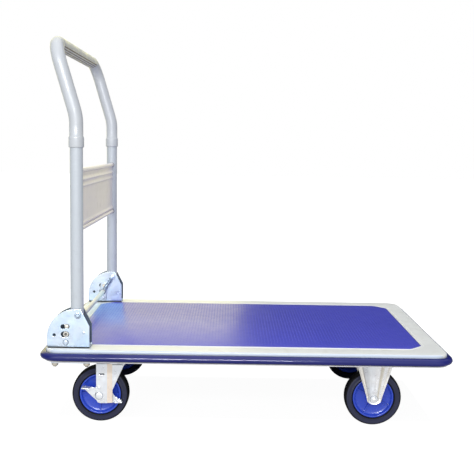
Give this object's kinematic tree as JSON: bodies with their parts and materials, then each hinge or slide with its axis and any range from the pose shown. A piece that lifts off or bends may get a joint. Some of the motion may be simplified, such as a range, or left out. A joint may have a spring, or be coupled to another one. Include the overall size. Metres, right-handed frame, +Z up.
{
  "type": "platform trolley",
  "caption": "Flat platform hand truck with a matted steel deck, a folding push handle with a foot-bar release, and swivelling braked and fixed castors.",
  "frame": {"origin": "on the floor under the middle of the deck", "axes": "+Z up, +X along the deck away from the push handle, +Y across the deck"},
  "size_m": [0.91, 0.61, 0.8675],
  "materials": {
    "deck_paint": "satin cream powder coat",
    "deck_mat": "semi-gloss embossed vinyl",
    "bumper": "semi-gloss vinyl",
    "bracket_zinc": "bright zinc plate with a blue tint",
    "fastener_steel": "zinc plated",
    "spring_steel": "bright drawn wire",
    "castor_zinc": "bright zinc plate",
    "handle_paint": "gloss grey-blue powder coat",
    "grip": "semi-gloss soft vinyl",
    "panel_paint": "satin warm grey powder coat",
    "release_paint": "satin cream paint",
    "tyre": "matt black rubber",
    "hub": "glossy moulded plastic",
    "bush": "natural nylon"
  },
  "bodies": {
    "deck": {"deck_plate": "deck_paint", "deck_mat": "deck_mat", "edge_bumper": "bumper", "rail_right": "deck_paint", "rail_left": "deck_paint", "cross_channel": "deck_paint", "bracket_backing_right": "bracket_zinc", "bracket_backing_left": "bracket_zinc", "hinge_bracket_right": "bracket_zinc", "hinge_bracket_left": "bracket_zinc", "bracket_bolt_outer_right": "fastener_steel", "bracket_bolt_outer_left": "fastener_steel", "bracket_bolt_inner_right": "fastener_steel", "bracket_bolt_inner_left": "fastener_steel", "cheek_rivet_right": "fastener_steel", "cheek_rivet_left": "fastener_steel", "spring_stud_right": "fastener_steel", "spring_stud_left": "fastener_steel", "handle_pivot_pin_right": "fastener_steel", "handle_pivot_pin_left": "fastener_steel", "lever_pivot_pin_right": "fastener_steel", "lever_pivot_pin_left": "fastener_steel", "release_spring_right": "spring_steel", "release_spring_left": "spring_steel", "swivel_plate_right": "castor_zinc", "swivel_plate_left": "castor_zinc", "kingpin_right": "fastener_steel", "kingpin_left": "fastener_steel", "fixed_fork_right": "castor_zinc", "fixed_fork_left": "castor_zinc", "fixed_axle_right": "fastener_steel", "fixed_axle_left": "fastener_steel"},
    "handle": {"handle_tube": "handle_paint", "grip_sleeve": "grip", "cross_panel": "panel_paint", "lock_lug_right": "fastener_steel", "lock_lug_left": "fastener_steel"},
    "release": {"release_bar": "release_paint", "release_lever_right": "bracket_zinc", "release_lever_left": "bracket_zinc", "lock_pin_right": "fastener_steel", "lock_pin_left": "fastener_steel"},
    "swivel_right": {"swivel_fork_right": "castor_zinc", "swivel_axle_right": "fastener_steel"},
    "swivel_wheel_right": {"tyre_swivel_right": "tyre", "hub_swivel_right": "hub", "bush_swivel_right": "bush"},
    "brake_right": {"brake_pedal_right": "castor_zinc"},
    "fixed_wheel_right": {"tyre_fixed_right": "tyre", "hub_fixed_right": "hub", "bush_fixed_right": "bush"},
    "swivel_left": {"swivel_fork_left": "castor_zinc", "swivel_axle_left": "fastener_steel"},
    "swivel_wheel_left": {"tyre_swivel_left": "tyre", "hub_swivel_left": "hub", "bush_swivel_left": "bush"},
    "brake_left": {"brake_pedal_left": "castor_zinc"},
    "fixed_wheel_left": {"tyre_fixed_left": "tyre", "hub_fixed_left": "hub", "bush_fixed_left": "bush"}
  },
  "joints": [
    {"name": "handle_fold", "type": "hinge", "parent": "deck", "child": "handle", "pos_m": [-0.374, 0, 0.2155], "axis": [0, 1, 0], "range_deg": [0, 90]},
    {"name": "release_swing", "type": "hinge", "parent": "deck", "child": "release", "pos_m": [-0.3964, 0, 0.2047], "axis": [0, -1, 0], "range_deg": [0, 12], "stiffness_Nm_per_rad": 0.34, "springref_deg": -62.45, "deforming": ["release_spring_right", "release_spring_left"]},
    {"name": "castor_turn_right", "type": "hinge", "parent": "deck", "child": "swivel_right", "pos_m": [-0.303, -0.1835, 0.1395], "axis": [0, 0, 1], "continuous": true},
    {"name": "swivel_wheel_spin_right", "type": "hinge", "parent": "swivel_right", "child": "swivel_wheel_right", "pos_m": [-0.334, -0.1835, 0.065], "axis": [0, 1, 0], "continuous": true},
    {"name": "brake_press_right", "type": "hinge", "parent": "swivel_right", "child": "brake_right", "pos_m": [-0.334, -0.1835, 0.065], "axis": [0, -1, 0], "range_deg": [0, 22]},
    {"name": "fixed_wheel_spin_right", "type": "hinge", "parent": "deck", "child": "fixed_wheel_right", "pos_m": [0.2946, -0.1835, 0.065], "axis": [0, 1, 0], "continuous": true},
    {"name": "castor_turn_left", "type": "hinge", "parent": "deck", "child": "swivel_left", "pos_m": [-0.303, 0.1835, 0.1395], "axis": [0, 0, 1], "continuous": true},
    {"name": "swivel_wheel_spin_left", "type": "hinge", "parent": "swivel_left", "child": "swivel_wheel_left", "pos_m": [-0.334, 0.1835, 0.065], "axis": [0, 1, 0], "continuous": true},
    {"name": "brake_press_left", "type": "hinge", "parent": "swivel_left", "child": "brake_left", "pos_m": [-0.334, 0.1835, 0.065], "axis": [0, -1, 0], "range_deg": [0, 22]},
    {"name": "fixed_wheel_spin_left", "type": "hinge", "parent": "deck", "child": "fixed_wheel_left", "pos_m": [0.2946, 0.1835, 0.065], "axis": [0, 1, 0], "continuous": true}
  ]
}
